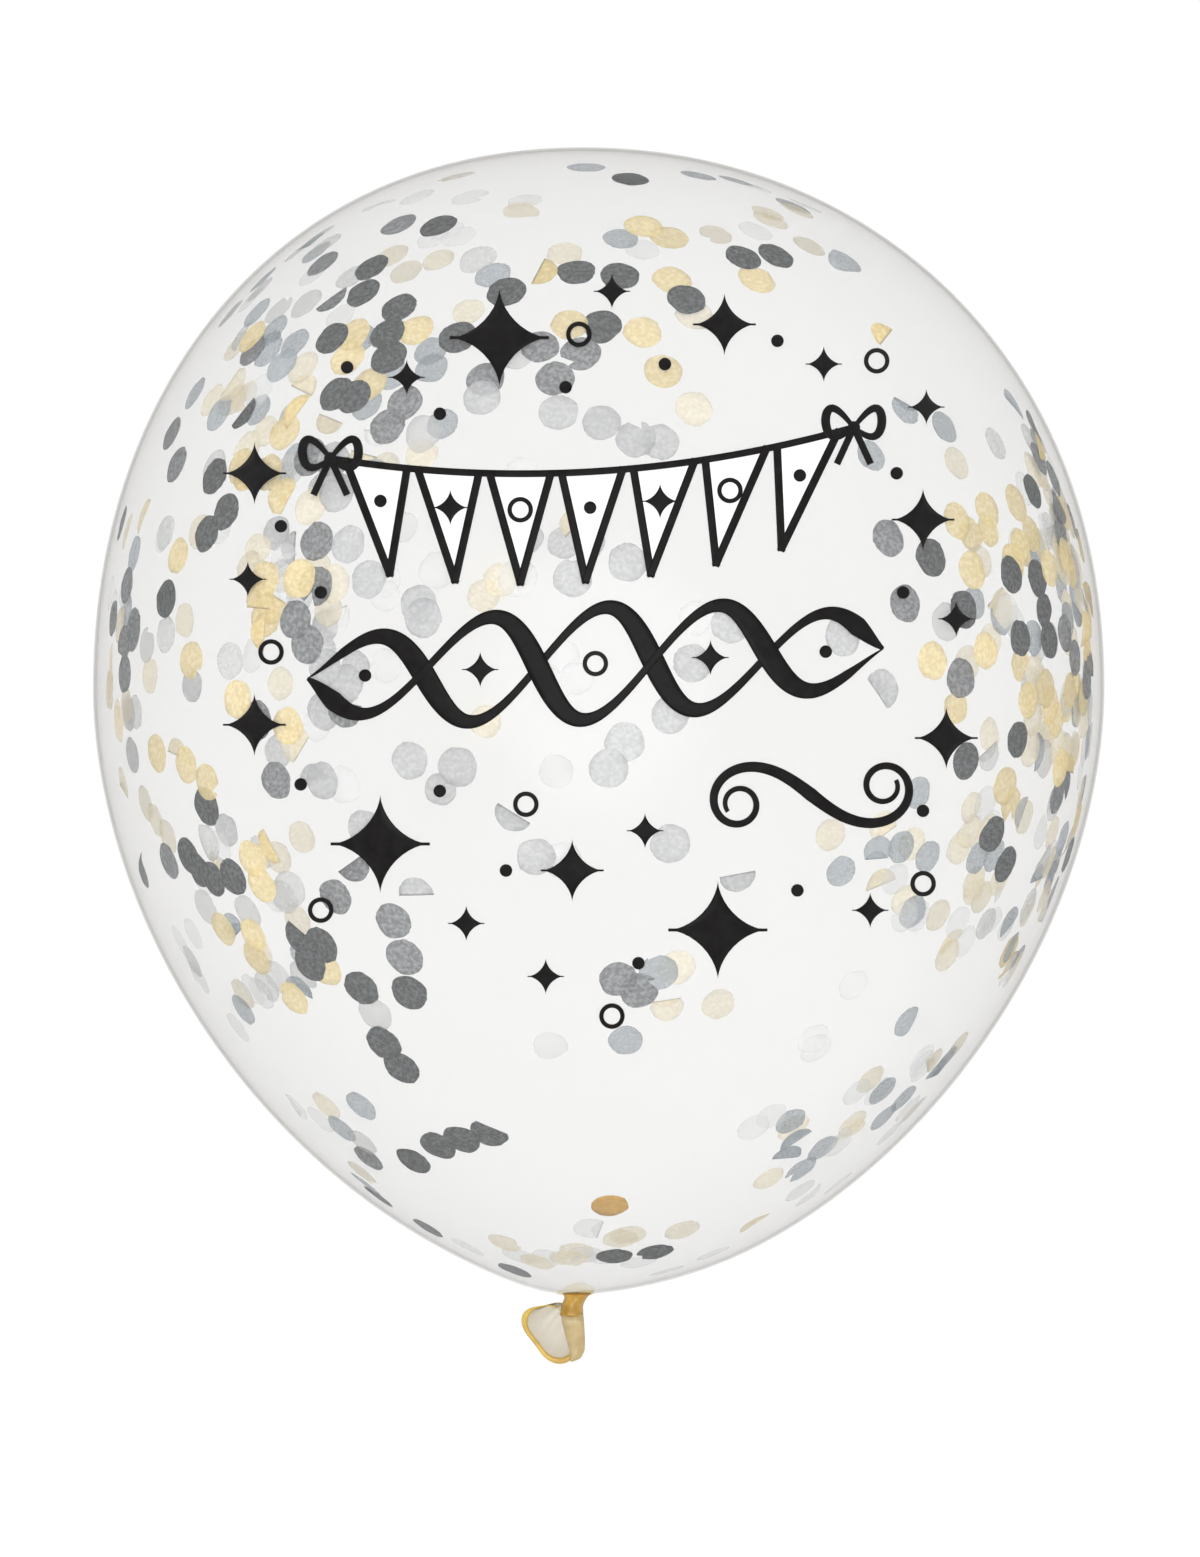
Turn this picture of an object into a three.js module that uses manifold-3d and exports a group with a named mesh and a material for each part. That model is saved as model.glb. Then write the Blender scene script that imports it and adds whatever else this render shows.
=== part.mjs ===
// An inflated latex balloon, tied at the neck and lying on its back.
// Millimetres, +Z up. The long axis runs along Y: crown towards +Y, neck and mouth towards -Y.
// The balloon is sealed, so its body is one filled solid. Only the mouth below the knot is hollow.

import * as THREE from 'three';
import { mergeVertices } from 'three/addons/utils/BufferGeometryUtils.js';
import Module from 'manifold-3d';

const wasm = await Module();
wasm.setup();

// Inflated body
const bodyDiameter = 304.8; // at the widest place
const crownLength = 163.5; // from the widest place to the top
const taperLength = 182.2; // from the widest place to the root of the neck
const crownCurve = { power: 2.133, root: 0.47 }; // both powers of the crown's outline
const taperCurve = { power: 1.851, root: 0.596 }; // and of the tapered end's
const crownLean = 4.8; // the top of the crown leans towards -X
const crownLeanPower = 3;
const tipLeanPower = 35; // how late the tapered end leans over to the neck
const restFlatDepth = 2; // cut off underneath, so that the balloon lies still

// Neck and knot
const neckOffset = 7.7; // the neck sits beside the long axis, towards -X
const neckDiameter = 6.8;
const neckFillet = 0.8; // where the body draws in to the neck
const neckLength = 0.9; // straight stretch below the body
const neckBend = 34; // degrees, turning sideways into the mouth
const neckBendRadius = 6;
const knotDiameter = 7.4; // the neck's doubled band
const knotStart = 0.2; // share of the bend where the band has its full size
const knotEnd = 0.5; // and where it draws in again
const throatDiameter = 5.4; // where the mouth opens out below the knot

// Flared mouth
const mouthDiameter = 17.4; // mean, at the middle of the wall
const mouthTurn = 72; // degrees, from the throat up to the open face
const mouthReach = 10; // from the throat to the rim along the wall
const flarePower = 0.85; // under 1, the wall opens quickly at first
const mouthRoll = -20; // degrees, turns the three corners of the rim
const cornerShare = 0.13; // how far the rim's corners stand out from round
const tuckShare = 0.42; // how far the rim is drawn in at the knot
const mouthWall = 0.4;
const lipDiameter = 1.7; // the rolled rim
const lipStandOut = 0.4; // its middle lies this far outside the wall
const foldClearance = 0.3; // keeps the tucked side of the mouth off the knot

// Facets
const bodySides = 60;
const crownRows = 15;
const taperRows = 17;
const tailSides = 24;
const filletRows = 2;
const flareRows = 7;
const lipRows = 8;

const bodyRadius = bodyDiameter / 2;
const neckRadius = neckDiameter / 2;
const knotRadius = knotDiameter / 2;
const throatRadius = throatDiameter / 2;
const mouthRadius = mouthDiameter / 2;
const lipRadius = lipDiameter / 2;
const degrees = Math.PI / 180;

function toSolid(geometry) {
  const bare = geometry.clone();
  bare.deleteAttribute('normal');
  bare.deleteAttribute('uv');
  const merged = mergeVertices(bare);
  const mesh = new wasm.Mesh({
    numProp: 3,
    vertProperties: new Float32Array(merged.attributes.position.array),
    triVerts: new Uint32Array(merged.index.array),
  });
  return new wasm.Manifold(mesh);
}

function toGeometry(solid) {
  const mesh = solid.getMesh();
  const geometry = new THREE.BufferGeometry();
  geometry.setAttribute('position', new THREE.BufferAttribute(mesh.vertProperties, 3));
  geometry.setIndex(new THREE.BufferAttribute(mesh.triVerts, 1));
  geometry.computeVertexNormals();
  return geometry;
}

// Body

function outlineRadius(share, curve) {
  return bodyRadius * Math.pow(1 - Math.pow(share, curve.power), curve.root);
}

// How far a cross-section of the body leans towards -X.
function leanAt(height) {
  if (height > 0) {
    return crownLean * Math.pow(height / crownLength, crownLeanPower);
  }
  return neckOffset * Math.pow(-height / taperLength, tipLeanPower);
}

function buildBody() {
  const profile = [new THREE.Vector2(0, -taperLength)];
  for (let row = taperRows - 1; row > 0; row -= 1) {
    const share = Math.sin((row / taperRows) * Math.PI / 2);
    profile.push(new THREE.Vector2(outlineRadius(share, taperCurve), -share * taperLength));
  }
  profile.push(new THREE.Vector2(bodyRadius, 0));
  for (let row = 1; row < crownRows; row += 1) {
    const share = Math.sin((row / crownRows) * Math.PI / 2);
    profile.push(new THREE.Vector2(outlineRadius(share, crownCurve), share * crownLength));
  }
  profile.push(new THREE.Vector2(0, crownLength));
  const geometry = new THREE.LatheGeometry(profile, bodySides);
  const place = geometry.attributes.position;
  for (let index = 0; index < place.count; index += 1) {
    place.setX(index, place.getX(index) - leanAt(place.getY(index)));
  }
  return geometry;
}

// Tail: neck, knot and mouth are one turned profile, measured along the neck, which is then bent.

const rootLength = neckDiameter; // sunk into the body
const bendLength = neckBendRadius * neckBend * degrees;
const bendStart = rootLength + neckLength;
const throatAt = bendStart + bendLength;
const rimAt = throatAt + mouthReach;

function flareRadius(share) {
  return THREE.MathUtils.lerp(throatRadius, mouthRadius, Math.pow(share, flarePower));
}

function neckProfile() {
  const fillet = Math.min(neckFillet, neckLength);
  const bandEnd = bendStart + bendLength * knotEnd;
  const profile = [new THREE.Vector2(0, 0), new THREE.Vector2(neckRadius + fillet, 0)];
  for (let row = 0; row <= filletRows; row += 1) {
    const angle = (row / filletRows) * Math.PI / 2;
    profile.push(new THREE.Vector2(
      neckRadius + fillet * (1 - Math.sin(angle)),
      rootLength + fillet * (1 - Math.cos(angle)),
    ));
  }
  profile.push(new THREE.Vector2(knotRadius, bendStart + bendLength * knotStart));
  profile.push(new THREE.Vector2(knotRadius, bandEnd));
  profile.push(new THREE.Vector2((knotRadius + throatRadius) / 2, (bandEnd + throatAt) / 2));
  return profile;
}

function tailProfile() {
  const halfWall = mouthWall / 2;
  const hollowEnd = throatAt + mouthReach / (2 * flareRows);
  const profile = neckProfile();
  for (let row = 0; row <= flareRows; row += 1) {
    const share = row / flareRows;
    profile.push(new THREE.Vector2(flareRadius(share) + halfWall, throatAt + share * mouthReach));
  }
  for (let row = 0; row <= lipRows; row += 1) {
    const angle = -Math.PI / 2 + (row / lipRows) * 1.5 * Math.PI;
    profile.push(new THREE.Vector2(
      mouthRadius + lipStandOut + lipRadius * Math.cos(angle),
      rimAt + lipRadius + halfWall + lipRadius * Math.sin(angle),
    ));
  }
  for (let row = flareRows; row > 0; row -= 1) {
    const share = row / flareRows;
    profile.push(new THREE.Vector2(flareRadius(share) - halfWall, throatAt + share * mouthReach));
  }
  profile.push(new THREE.Vector2(0, hollowEnd));
  return profile;
}

// The rim's three rounded corners, and the tuck at the knot, by the angle from the far side.
function rimShape(angle) {
  const corners = cornerShare * Math.cos(3 * (angle - mouthRoll * degrees));
  const tuck = tuckShare * Math.pow((1 - Math.cos(angle)) / 2, 4);
  return 1 - corners - tuck;
}

// One cross-section of the bent tail: its middle, its two directions and its travel.
function tailSection(distance) {
  const up = new THREE.Vector3(0, 0, 1);
  const straight = Math.min(distance, bendStart);
  const turn = THREE.MathUtils.clamp((distance - bendStart) / neckBendRadius, 0, neckBend * degrees);
  const across = new THREE.Vector3(Math.cos(turn), -Math.sin(turn), 0);
  const travel = new THREE.Vector3(-Math.sin(turn), -Math.cos(turn), 0);
  const middle = new THREE.Vector3(-neckOffset, rootLength - taperLength - straight, 0);
  middle.x -= neckBendRadius * (1 - Math.cos(turn));
  middle.y -= neckBendRadius * Math.sin(turn);
  const open = THREE.MathUtils.clamp((distance - throatAt) / mouthReach, 0, 1);
  const fan = open * mouthTurn * degrees;
  const outward = travel.clone().multiplyScalar(Math.sin(fan)).addScaledVector(up, -Math.cos(fan));
  const facing = travel.clone().multiplyScalar(Math.cos(fan)).addScaledVector(up, Math.sin(fan));
  if (open > 0) {
    // The open sections turn about a hinge line just in front of the throat.
    const hingeGap = mouthWall / 2 + foldClearance;
    const rimGap = lipStandOut + lipRadius + foldClearance;
    const nearRadius = flareRadius(open) * THREE.MathUtils.lerp(1, rimShape(Math.PI), open);
    middle.addScaledVector(up, throatRadius + hingeGap);
    middle.addScaledVector(outward, THREE.MathUtils.lerp(hingeGap, rimGap, open) + nearRadius);
    middle.addScaledVector(facing, Math.max(distance - rimAt, 0));
  }
  return { middle, across, outward, open };
}

function buildTail() {
  const geometry = new THREE.LatheGeometry(tailProfile(), tailSides);
  const place = geometry.attributes.position;
  const point = new THREE.Vector3();
  for (let index = 0; index < place.count; index += 1) {
    point.fromBufferAttribute(place, index);
    const section = tailSection(point.y);
    const shape = THREE.MathUtils.lerp(1, rimShape(Math.atan2(point.x, point.z)), section.open);
    const bent = section.middle.clone();
    bent.addScaledVector(section.across, point.x * shape);
    bent.addScaledVector(section.outward, point.z * shape);
    place.setXYZ(index, bent.x, bent.y, bent.z);
  }
  return geometry;
}

// The ground cuts the flat spot: a block that reaches up to it and past the body on every side.
function buildGround() {
  const side = 2 * (crownLength + taperLength);
  const ground = new THREE.BoxGeometry(side, side, bodyDiameter);
  ground.translate(0, 0, restFlatDepth - bodyRadius - bodyDiameter / 2);
  return ground;
}

const latex = new THREE.MeshStandardMaterial({
  color: 0xe9e6df,
  roughness: 0.25,
  metalness: 0,
});

const balloonSolid = toSolid(buildBody()).add(toSolid(buildTail())).subtract(toSolid(buildGround()));
const balloon = new THREE.Mesh(toGeometry(balloonSolid), latex);
balloon.name = 'latex_balloon';

// The origin is under the middle of the balloon, on the surface that it lies on.
const extent = new THREE.Box3().setFromObject(balloon);
const middle = extent.getCenter(new THREE.Vector3());
balloon.position.set(-middle.x, -middle.y, -extent.min.z);

const object = new THREE.Group();
object.add(balloon);

export default object;
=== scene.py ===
import math
import random

import bmesh
import bpy
from mathutils import Matrix, Vector


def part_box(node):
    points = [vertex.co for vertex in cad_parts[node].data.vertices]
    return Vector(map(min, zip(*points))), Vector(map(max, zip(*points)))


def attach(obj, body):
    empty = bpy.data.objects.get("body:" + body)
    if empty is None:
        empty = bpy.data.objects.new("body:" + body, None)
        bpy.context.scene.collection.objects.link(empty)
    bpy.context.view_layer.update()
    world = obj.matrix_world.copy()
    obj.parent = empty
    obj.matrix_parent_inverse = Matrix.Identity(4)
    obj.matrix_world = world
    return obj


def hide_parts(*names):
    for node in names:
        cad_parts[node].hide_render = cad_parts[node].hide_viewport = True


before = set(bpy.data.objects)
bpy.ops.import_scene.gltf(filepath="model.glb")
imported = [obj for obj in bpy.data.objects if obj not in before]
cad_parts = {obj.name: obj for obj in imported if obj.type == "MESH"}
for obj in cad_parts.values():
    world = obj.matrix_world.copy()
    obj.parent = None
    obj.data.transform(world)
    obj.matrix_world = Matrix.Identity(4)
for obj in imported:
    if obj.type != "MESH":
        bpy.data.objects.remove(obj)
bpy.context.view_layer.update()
nodeLow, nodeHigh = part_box("latex_balloon")
mm = 0.001

print("stage 1: the balloon's outline")

outlineSettings = {
    "crownLength": 163.5 * mm,  # from the widest place to the top
    "taperLength": 182.2 * mm,  # from the widest place to the neck
    "crownPower": 2.133,
    "crownRoot": 0.47,
    "taperPower": 1.851,
    "taperRoot": 0.596,
    "crownLean": 4.8 * mm,  # the top leans towards -X
    "crownLeanPower": 3,
    "neckOffset": 7.7 * mm,  # the tapered tip leans over to the neck
    "tipLeanPower": 35,
    "step": 0.2 * mm,  # for slopes
    "tightestBend": 25 * mm,
    "endMargin": 1 * mm,  # lines of sight meet the film no closer to its ends
    "sightSteps": 24,  # towards the place where a line of sight meets the film
    "sightShare": 0.5,  # of the way that each step goes
}

bodyRadius = (nodeHigh.x - nodeLow.x) / 2
bodyMiddle = Vector((0, nodeHigh.y - outlineSettings["crownLength"], nodeHigh.z - bodyRadius))


def outlineAt(along):  # radius and sideways lean of the body, by the distance from its widest place
    s = outlineSettings
    if along >= 0:
        share = min(along / s["crownLength"], 1)
        radius = bodyRadius * (1 - share ** s["crownPower"]) ** s["crownRoot"]
        return radius, -s["crownLean"] * share ** s["crownLeanPower"]
    share = min(-along / s["taperLength"], 1)
    radius = bodyRadius * (1 - share ** s["taperPower"]) ** s["taperRoot"]
    return radius, -s["neckOffset"] * share ** s["tipLeanPower"]


def bodyPoint(along, angle, inset=0.0):  # angle 0 is the printed side, up; a quarter turn is +X
    radius, lean = outlineAt(along)
    step = outlineSettings["step"]
    after = outlineAt(along + step)
    before = outlineAt(along - step)
    slope = (after[0] - before[0]) / (2 * step)
    tilt = (after[1] - before[1]) / (2 * step)
    out = Vector((math.sin(angle), -slope - tilt * math.sin(angle), math.cos(angle))).normalized()
    place = Vector((lean + radius * math.sin(angle), along, radius * math.cos(angle)))
    return bodyMiddle + place - out * inset, out


def filmBends(along):  # curvature around the body and along it
    step = outlineSettings["step"]
    before = outlineAt(along - step)[0]
    here = outlineAt(along)[0]
    after = outlineAt(along + step)[0]
    steep = math.sqrt(1 + ((after - before) / (2 * step)) ** 2)
    most = 1 / outlineSettings["tightestBend"]
    around = 1 / (max(here, step) * steep)
    lengthwise = (2 * here - before - after) / (step * step * steep ** 3)
    return min(max(around, 0), most), min(max(lengthwise, 0), most)


def mix(low, high, share):
    return low + (high - low) * share


def meshObject(name, points, faces, rims=(), turnOutwards=True):
    mesh = bpy.data.meshes.new(name)
    mesh.from_pydata(points, [], faces)
    smooth = [True] * len(mesh.polygons)
    for index in rims:
        smooth[index] = False
    mesh.polygons.foreach_set("use_smooth", smooth)
    if turnOutwards:
        work = bmesh.new()
        work.from_mesh(mesh)
        bmesh.ops.recalc_face_normals(work, faces=work.faces)
        work.to_mesh(mesh)
        work.free()
    mesh.update()
    made = bpy.data.objects.new(name, mesh)
    bpy.context.scene.collection.objects.link(made)
    return made


def newSheet():  # several thin closed sheets, gathered into one mesh
    return {"points": [], "faces": [], "rims": []}


def addSheet(sheet, grid, thickness, closed=False):  # grid: rows of (place, outward direction)
    start = len(sheet["points"])
    rowCount = len(grid)
    width = len(grid[0])
    back = rowCount * width
    for half in (0.5, -0.5):
        for row in grid:
            for place, out in row:
                sheet["points"].append(place + out * thickness * half)

    def corner(row, column):
        return start + (row % rowCount) * width + column

    rims = []
    lastRow = rowCount if closed else rowCount - 1
    for row in range(lastRow):
        for column in range(width - 1):
            front = (corner(row, column), corner(row, column + 1),
                     corner(row + 1, column + 1), corner(row + 1, column))
            sheet["faces"].append(front)
            sheet["faces"].append(tuple(index + back for index in reversed(front)))
        rims.append((corner(row + 1, 0), corner(row, 0)))
        rims.append((corner(row, width - 1), corner(row + 1, width - 1)))
    if not closed:
        for column in range(width - 1):
            rims.append((corner(0, column), corner(0, column + 1)))
            rims.append((corner(rowCount - 1, column + 1), corner(rowCount - 1, column)))
    for first, second in rims:
        sheet["rims"].append(len(sheet["faces"]))
        sheet["faces"].append((second, first, first + back, second + back))


def sheetObject(name, sheet):
    return meshObject(name, sheet["points"], sheet["faces"], sheet["rims"])


def dressPiece(piece, material):
    piece.data.materials.append(material)
    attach(piece, "root")
    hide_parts("latex_balloon")


print("stage 2: camera, floor and light")

viewSettings = {
    "distance": 1.74,  # from the balloon's middle, straight above it
    "pixel": 0.3023 * mm,  # of the photograph, at the balloon's middle
    "middlePixel": (598.7, 691.7),  # where the widest place's middle is in the picture
    "frame": (1200, 1557),
    "sensor": 36,
}


def makeCamera():
    s = viewSettings
    camera = bpy.data.objects.new("camera", bpy.data.cameras.new("camera"))
    bpy.context.scene.collection.objects.link(camera)
    camera.data.sensor_width = s["sensor"]
    camera.data.lens = s["sensor"] * s["distance"] / (s["frame"][1] * s["pixel"])
    right = (s["frame"][0] / 2 - s["middlePixel"][0]) * s["pixel"]
    down = (s["frame"][1] / 2 - s["middlePixel"][1]) * s["pixel"]
    camera.location = bodyMiddle + Vector((right, -down, s["distance"]))
    bpy.context.scene.camera = camera
    return camera.location.copy()


def fromPixel(pixel):  # a place in the photograph, measured at the balloon's middle
    s = viewSettings
    right = (pixel[0] - s["middlePixel"][0]) * s["pixel"]
    return right, (s["middlePixel"][1] - pixel[1]) * s["pixel"]


def inSight(x, y, height):  # what shows at that place of the picture plane, at this height above it
    aim = bodyMiddle + Vector((x, y, 0))
    return eye + (aim - eye) * (1 - height / (eye.z - bodyMiddle.z))


def filmUnder(x, y, side):  # where the film is that shows at that place: side 1 above, -1 below
    s = outlineSettings
    height = 0.0
    for _ in range(s["sightSteps"]):
        place = inSight(x, y, height) - bodyMiddle
        along = min(max(place.y, s["endMargin"] - s["taperLength"]), s["crownLength"] - s["endMargin"])
        radius, lean = outlineAt(along)
        across = min(max(place.x - lean, -radius), radius)
        rise = side * math.sqrt(radius * radius - across * across)
        height = mix(height, rise, s["sightShare"])
    return along, math.atan2(across, rise)


stageSettings = {
    "floorSize": 40,
    "floorColour": (0.8, 0.8, 0.8, 1),
    "floorRoughness": 1,
    "worldColour": (1, 1, 1, 1),
    "worldStrength": 0.55,
    "sunStrength": 2.5,
    "sunAngle": 50,
    "transparentBounces": 48,
    "lightBounces": 4,
}


def makeStage():
    s = stageSettings
    half = s["floorSize"] / 2
    corners = [(-half, -half, 0), (half, -half, 0), (half, half, 0), (-half, half, 0)]
    floor = meshObject("floor", corners, [(0, 1, 2, 3)])
    paper = bpy.data.materials.new("studioPaper")
    paper.use_nodes = True
    shader = paper.node_tree.nodes["Principled BSDF"]
    shader.inputs["Base Color"].default_value = s["floorColour"]
    shader.inputs["Roughness"].default_value = s["floorRoughness"]
    floor.data.materials.append(paper)
    scene = bpy.context.scene
    scene.world = bpy.data.worlds.new("studio")
    scene.world.use_nodes = True
    backdrop = scene.world.node_tree.nodes["Background"]
    backdrop.inputs["Color"].default_value = s["worldColour"]
    backdrop.inputs["Strength"].default_value = s["worldStrength"]
    sun = bpy.data.objects.new("overheadSoftbox", bpy.data.lights.new("overheadSoftbox", "SUN"))
    sun.data.energy = s["sunStrength"]
    sun.data.angle = math.radians(s["sunAngle"])
    scene.collection.objects.link(sun)
    scene.view_settings.view_transform = "Standard"
    scene.cycles.transparent_max_bounces = s["transparentBounces"]
    scene.cycles.max_bounces = s["lightBounces"]


eye = makeCamera()
makeStage()

print("stage 3: latex film")


def newMaterial(name, s):  # two shades, mottled; bump and gloss follow the mottling
    made = bpy.data.materials.new(name)
    made.use_nodes = True
    nodes = made.node_tree.nodes
    links = made.node_tree.links
    shader = nodes["Principled BSDF"]
    coordinates = nodes.new("ShaderNodeTexCoord")
    mottle = nodes.new("ShaderNodeTexNoise")
    mottle.inputs["Scale"].default_value = s["mottleScale"]
    mottle.inputs["Detail"].default_value = s["mottleDetail"]
    links.new(coordinates.outputs["Object"], mottle.inputs["Vector"])
    shades = nodes.new("ShaderNodeValToRGB")
    shades.color_ramp.elements[0].position = s["mottleMiddle"] - s["mottleSpread"]
    shades.color_ramp.elements[0].color = (*s["dark"], 1)
    shades.color_ramp.elements[1].position = s["mottleMiddle"] + s["mottleSpread"]
    shades.color_ramp.elements[1].color = (*s["light"], 1)
    links.new(mottle.outputs["Fac"], shades.inputs["Fac"])
    links.new(shades.outputs["Color"], shader.inputs["Base Color"])
    gloss = nodes.new("ShaderNodeMapRange")
    gloss.inputs["To Min"].default_value = s["roughness"] - s["roughnessSpread"]
    gloss.inputs["To Max"].default_value = s["roughness"] + s["roughnessSpread"]
    links.new(mottle.outputs["Fac"], gloss.inputs["Value"])
    links.new(gloss.outputs["Result"], shader.inputs["Roughness"])
    bump = nodes.new("ShaderNodeBump")
    bump.inputs["Strength"].default_value = s["bumpStrength"]
    bump.inputs["Distance"].default_value = s["bumpDepth"]
    links.new(mottle.outputs["Fac"], bump.inputs["Height"])
    links.new(bump.outputs["Normal"], shader.inputs["Normal"])
    shader.inputs["Alpha"].default_value = s["alpha"]
    shader.inputs["Specular IOR Level"].default_value = s["specular"]
    if "absorption" in s:
        absorb = nodes.new("ShaderNodeVolumeAbsorption")
        absorb.inputs["Color"].default_value = (*s["absorption"], 1)
        absorb.inputs["Density"].default_value = s["absorptionDensity"]
        links.new(absorb.outputs["Volume"], nodes["Material Output"].inputs["Volume"])
    return made


filmSettings = {
    "wall": 1.0 * mm,  # thicker than real latex, so that its edge doesn't show as a dark line
    "around": 128,
    "crownRows": 44,
    "taperRows": 52,
    "restGap": 0.02 * mm,
    "dark": (0.70, 0.70, 0.69),
    "light": (0.77, 0.77, 0.76),
    "mottleScale": 14,
    "mottleDetail": 2,
    "mottleMiddle": 0.5,
    "mottleSpread": 0.25,
    "specular": 0.5,
    "roughness": 0.22,
    "roughnessSpread": 0.04,
    "bumpStrength": 0.1,
    "bumpDepth": 0.1 * mm,
    "alpha": 0.09,
    "absorption": (0.86, 0.856, 0.85),
    "absorptionDensity": 150,
}


def filmRows():
    s = filmSettings
    rows = []
    for step in range(s["taperRows"] - 1, 0, -1):
        rows.append(-outlineSettings["taperLength"] * math.sin(step / s["taperRows"] * math.pi / 2))
    for step in range(s["crownRows"]):
        rows.append(outlineSettings["crownLength"] * math.sin(step / s["crownRows"] * math.pi / 2))
    return rows


def addFilmShell(points, faces, inset, inwards):
    s = filmSettings
    start = len(points)
    rows = filmRows()
    for along in rows:
        for column in range(s["around"]):
            place, _ = bodyPoint(along, column / s["around"] * 2 * math.pi, inset)
            place.z = max(place.z, s["restGap"] + inset)  # flat where it lies
            points.append(place)
    tip = len(points)
    o = outlineSettings
    points.append(bodyMiddle + Vector((-o["neckOffset"], inset - o["taperLength"], 0)))
    points.append(bodyMiddle + Vector((-o["crownLean"], o["crownLength"] - inset, 0)))
    made = []
    last = start + (len(rows) - 1) * s["around"]
    for column in range(s["around"]):
        following = (column + 1) % s["around"]
        made.append((tip, start + following, start + column))
        made.append((tip + 1, last + column, last + following))
        for row in range(start, last, s["around"]):
            above = row + s["around"]
            made.append((row + column, row + following, above + following, above + column))
    faces.extend([face[::-1] for face in made] if inwards else made)


def makeFilm():
    points = []
    faces = []
    addFilmShell(points, faces, 0.0, False)
    addFilmShell(points, faces, filmSettings["wall"], True)
    film = meshObject("balloon_film", points, faces, turnOutwards=False)
    film.visible_shadow = False  # the real film is far too thin to dim the light
    film.visible_diffuse = False  # or what bounces off the floor
    dressPiece(film, newMaterial("clearLatex", filmSettings))


makeFilm()

print("stage 4: neck, knot and mouth")

tailSettings = {
    "neckDiameter": 6.8 * mm,
    "neckLength": 0.9 * mm,
    "neckBend": math.radians(34),
    "neckBendRadius": 6 * mm,
    "throatDiameter": 5.4 * mm,
    "mouthDiameter": 17.4 * mm,
    "mouthTurn": math.radians(72),
    "mouthReach": 10 * mm,
    "flarePower": 0.85,
    "mouthRoll": math.radians(-20),
    "corners": 3,
    "cornerShare": 0.13,  # how far the rim's corners stand out from round
    "tuckShare": 0.42,  # how far the rim is drawn in at the knot
    "tuckPower": 4,
    "shoulderShare": 0.17,  # the rim bulges out beside the knot
    "shoulderAt": math.radians(-140),
    "shoulderPower": 12,
    "mouthWall": 0.4 * mm,
    "lipDiameter": 1.7 * mm,
    "lipStandOut": 0.4 * mm,
    "lipMiddle": math.radians(-14),  # where the roll is thickest
    "fullLipFrom": -0.1,  # it thickens from this cosine of the angle from there
    "fullLipOver": 0.55,  # and is full when the cosine has grown by this
    "thinLip": 0.27,  # share of its thickness on the folded side
    "fadeAtKnot": 0.85,  # and it fades out at the knot
    "fadePower": 8,
    "foldClearance": 0.3 * mm,
    "sides": 96,
    "flareRows": 22,
    "lipRows": 16,
    "throatGap": 0.05 * mm,  # the mouth wall closes this far past the throat
    "creases": 13,  # inside the mouth, fading towards the lip
    "creaseDepth": 0.07,
    "creaseFade": 1.2,
    "creaseWander": 2,
    "creaseWaves": 3,
}

# The knotted band's two edges in the photograph, and its half height.
knotSettings = {
    "left": ((562.5, 1293.3), (564.5, 1297), (562.5, 1302), (560.4, 1308.5), (559.6, 1315.5)),
    "right": ((591.5, 1293.3), (587.6, 1297.5), (584, 1302.5), (583, 1308.5), (583, 1315.5)),
    "halfHeight": (4, 3.6, 3.6, 4.2, 4.5),  # millimetres
    "rows": 44,
    "pleats": 7,
    "pleatDepth": 0.022,
    "twist": 4.5,
    "wrapDepth": 0.022,
    "wraps": 2.3,  # slanting folds over the band's length
    "wrapSlant": 1.6,
    "wrapTurn": 0.7,
    "smoothStart": 0.2,  # share of the length over which pleats and wraps grow
    "roundFrom": 0.93,  # share of the length from which the end is rounded
    "roundBy": 0.12,
}

# The near wall of the mouth, folded over its right half.
foldSettings = {
    "outer": ((582.6, 1314), (583.4, 1321), (584, 1331), (584.4, 1341.5), (583.8, 1351), (579.5, 1358.6),
              (571.3, 1361.7)),
    "inner": ((561.5, 1313), (561.5, 1320), (563.5, 1329), (566, 1339), (568.8, 1348.5), (570.2, 1355.8),
              (570, 1360.8)),
    "height": (2.9, 4.4, 4.0, 3.3, 2.6, 2.1, 1.8),  # millimetres
    "rows": 48,
    "topColumns": 25,
    "edgeColumns": 15,
    "roundShare": 0.8,  # of the edge's columns go round the edge, and the others lie underneath
    "edgeRadius": 1.0 * mm,
    "edgeShare": 0.45,  # and no more than this share of the fold's width
    "tuck": 1.2 * mm,  # how far the folded edge turns back underneath
    "dip": 1.3 * mm,  # the free edge sinks into the mouth
    "dipShare": 0.3,  # over this share of the fold's width
    "fullWidth": 6 * mm,  # where the fold is narrower, it dips and tucks less
    "wrinkle": 0.07 * mm,
    "wrinkleStep": 0.75 * mm,
}

mouthLatex = {
    "dark": (0.56, 0.49, 0.36),
    "light": (0.72, 0.66, 0.53),
    "mottleScale": 260,
    "mottleDetail": 3,
    "mottleMiddle": 0.5,
    "mottleSpread": 0.2,
    "specular": 0.5,
    "roughness": 0.38,
    "roughnessSpread": 0.06,
    "bumpStrength": 0.4,
    "bumpDepth": 0.15 * mm,
    "alpha": 0.14,
    "absorption": (0.64, 0.57, 0.40),
    "absorptionDensity": 2050,
}

neckLatex = {
    **mouthLatex,
    "dark": (0.33, 0.168, 0.012),
    "light": (0.61, 0.365, 0.06),
    "alpha": 0.85,
    "absorptionDensity": 100,
}

lipLatex = {
    **mouthLatex,
    "dark": (0.54, 0.32, 0.022),
    "light": (0.77, 0.52, 0.055),
    "alpha": 0.7,
    "absorptionDensity": 200,
}

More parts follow.
